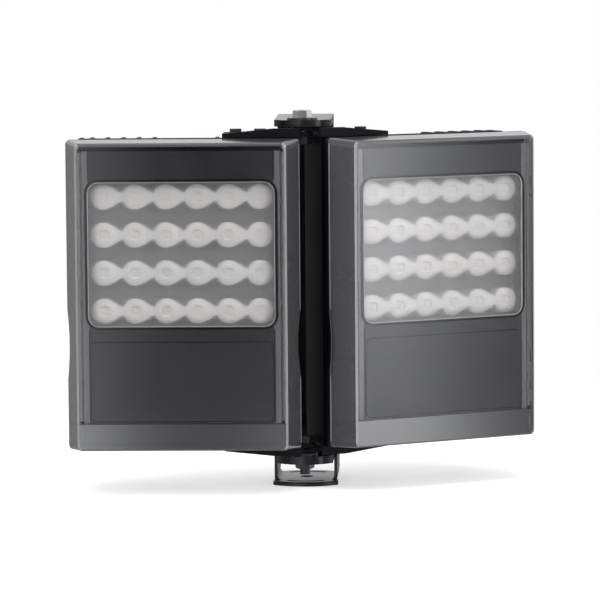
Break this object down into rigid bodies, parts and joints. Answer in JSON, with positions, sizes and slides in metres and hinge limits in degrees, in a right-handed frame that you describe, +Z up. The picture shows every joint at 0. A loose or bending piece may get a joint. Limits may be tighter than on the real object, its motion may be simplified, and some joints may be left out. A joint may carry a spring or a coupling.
{
  "type": "infrared illuminator",
  "caption": "Twin-panel infrared floodlight: finned black housings with smoked windows over LED lenses, on a swivelling yoke with a tilting slotted U bracket.",
  "frame": {"origin": "centre of the base plate's fixing face, on the axis of its centre hole", "axes": "+Z up from the fixing face along the swivel axis, the beam goes to -Y, +X to the right seen from the front"},
  "size_m": [0.3614, 0.1655, 0.2953],
  "materials": {
    "black_casting": "satin black powder coat",
    "black_sheet": "satin black powder coat",
    "smoked_window": "clear smoked polycarbonate",
    "smoked_cap": "smoked polycarbonate",
    "seal_rubber": "matt",
    "black_plastic": "fine satin",
    "diffuser": "clear with fine upright ribs",
    "lens_clear": "clear moulded acrylic",
    "led_package": "plain",
    "white_board": "white solder mask",
    "green_board": "green solder mask",
    "bare_aluminium": "milled",
    "stainless": "plain stainless",
    "black_steel": "black plated",
    "brass_parts": "plain"
  },
  "bodies": {
    "mount": {"u_bracket": "black_sheet"},
    "yoke": {"yoke": "black_casting", "top_pivot_bolt": "stainless", "top_washer": "black_steel", "top_nut": "stainless", "bottom_pivot_bolt": "stainless", "bottom_nut": "black_steel", "thrust_washer": "black_plastic", "tilt_bolts": "stainless", "tilt_washers": "stainless"},
    "left_panel": {"left_housing": "black_casting", "left_cover": "smoked_window", "left_end_cap": "smoked_cap", "left_window_seal": "seal_rubber", "left_bezel": "black_plastic", "left_lens_sheet": "diffuser", "left_lenses": "lens_clear", "left_leds": "led_package", "left_led_board": "white_board", "left_heat_spreader": "bare_aluminium", "left_board_screws": "stainless", "left_driver_board": "green_board", "left_standoffs": "brass_parts", "left_cable_gland": "black_plastic", "left_gland_nut": "black_plastic", "left_cap_screws": "stainless", "left_top_wing": "black_casting", "left_bottom_wing": "black_casting", "left_wing_screws": "black_steel"},
    "right_panel": {"right_housing": "black_casting", "right_cover": "smoked_window", "right_end_cap": "smoked_cap", "right_window_seal": "seal_rubber", "right_bezel": "black_plastic", "right_lens_sheet": "diffuser", "right_lenses": "lens_clear", "right_leds": "led_package", "right_led_board": "white_board", "right_heat_spreader": "bare_aluminium", "right_board_screws": "stainless", "right_driver_board": "green_board", "right_standoffs": "brass_parts", "right_cable_gland": "black_plastic", "right_gland_nut": "black_plastic", "right_cap_screws": "stainless", "right_top_wing": "black_casting", "right_bottom_wing": "black_casting", "right_wing_screws": "black_steel"}
  },
  "joints": [
    {"name": "tilt", "type": "hinge", "parent": "mount", "child": "yoke", "pos_m": [0, 0.028, 0.06], "axis": [1, 0, 0], "range_deg": [-30, 5]},
    {"name": "left_pan", "type": "hinge", "parent": "yoke", "child": "left_panel", "pos_m": [0, -0.037, 0.155], "axis": [0, 0, 1], "range_deg": [-13.7, 0]},
    {"name": "right_pan", "type": "hinge", "parent": "yoke", "child": "right_panel", "pos_m": [0, -0.037, 0.155], "axis": [0, 0, 1], "range_deg": [-31.3, 13.7]}
  ]
}
